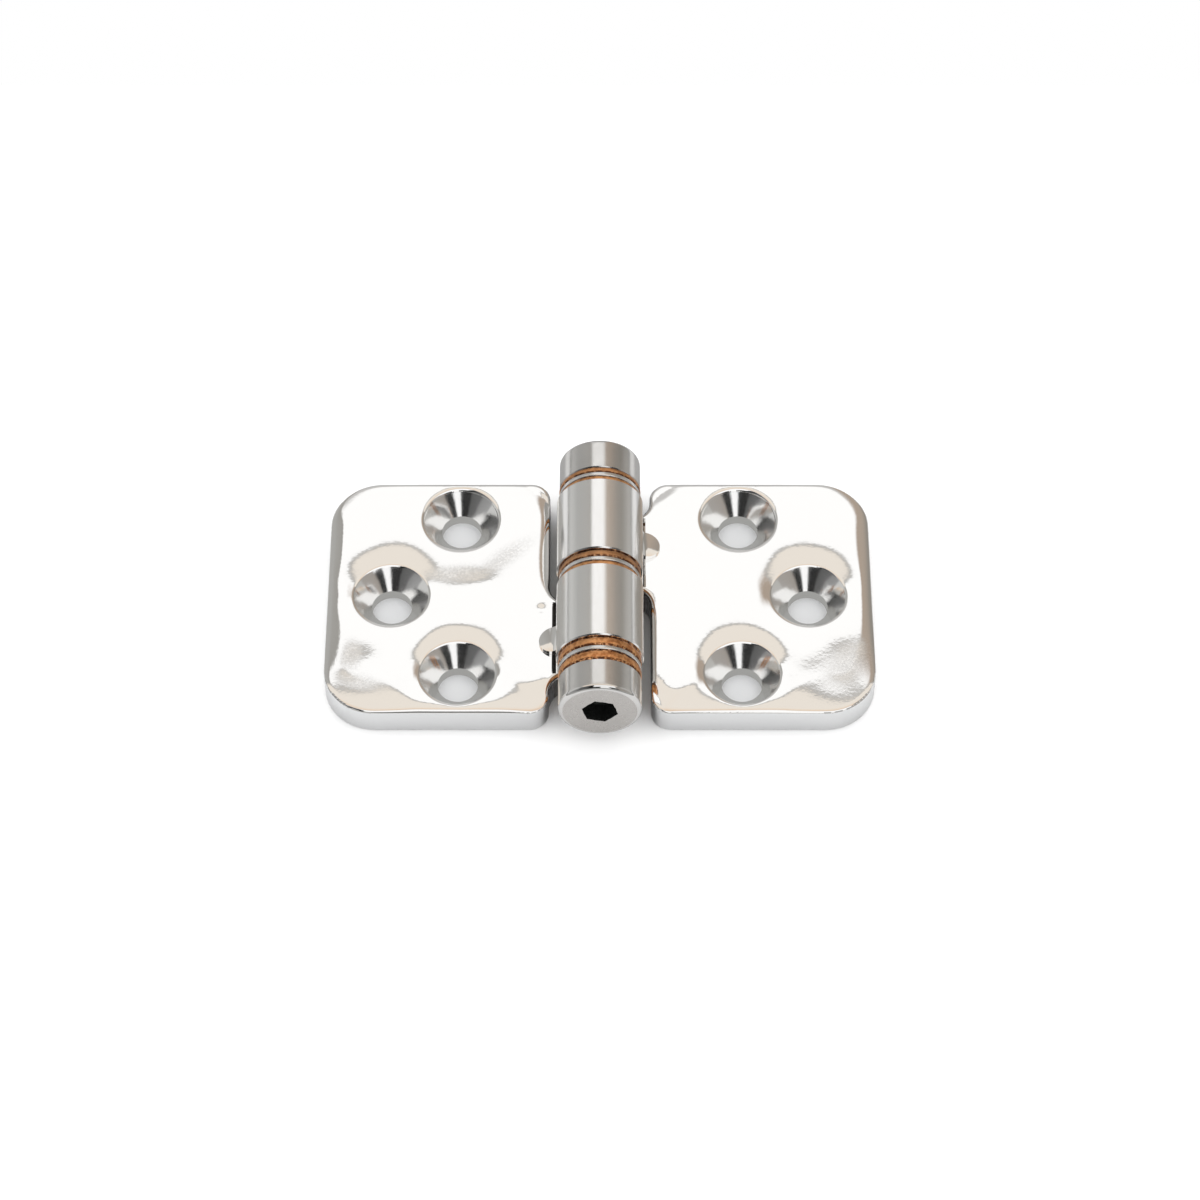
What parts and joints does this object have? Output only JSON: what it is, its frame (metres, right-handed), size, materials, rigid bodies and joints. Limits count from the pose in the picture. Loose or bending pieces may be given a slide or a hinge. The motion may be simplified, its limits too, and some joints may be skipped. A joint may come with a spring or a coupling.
{
  "type": "friction hinge",
  "caption": "Low-profile friction hinge: stamped polished leaves with rolled knuckles on a screw-adjusted pivot with copper friction washers, holding a lid at any angle.",
  "frame": {"origin": "under the middle of the pivot, on the mounting plane", "axes": "+Z out of the mounting plane, Y along the pivot from the tension screw to the sleeve nut, X across the hinge from the left leaf to the right leaf"},
  "size_m": [0.0744, 0.0416, 0.0138],
  "materials": {
    "polished_stainless": "mirror polished leaf, finely brushed turned-down edges and knuckle",
    "turned_stainless": "fine turned",
    "copper_alloy": "plain, with rough sheared edges"
  },
  "bodies": {
    "left_leaf_and_pivot": {"left_leaf": "polished_stainless", "sleeve_nut": "turned_stainless", "copper_washer_1": "copper_alloy", "copper_washer_2": "copper_alloy", "copper_washer_3": "copper_alloy", "copper_washer_4": "copper_alloy", "copper_washer_5": "copper_alloy", "copper_washer_6": "copper_alloy", "steel_washer_1": "turned_stainless", "steel_washer_2": "turned_stainless", "steel_washer_3": "turned_stainless"},
    "right_leaf": {"right_leaf": "polished_stainless"},
    "tension_screw": {"tension_screw": "turned_stainless"}
  },
  "joints": [
    {"name": "leaf_fold", "type": "hinge", "parent": "left_leaf_and_pivot", "child": "right_leaf", "pos_m": [0, 0, 0.0079], "axis": [0, -1, 0], "range_deg": [-75, 185]},
    {"name": "tension_turn", "type": "hinge", "parent": "left_leaf_and_pivot", "child": "tension_screw", "pos_m": [0, -0.02077, 0.0079], "axis": [0, 1, 0], "range_deg": [-45, 45]}
  ]
}
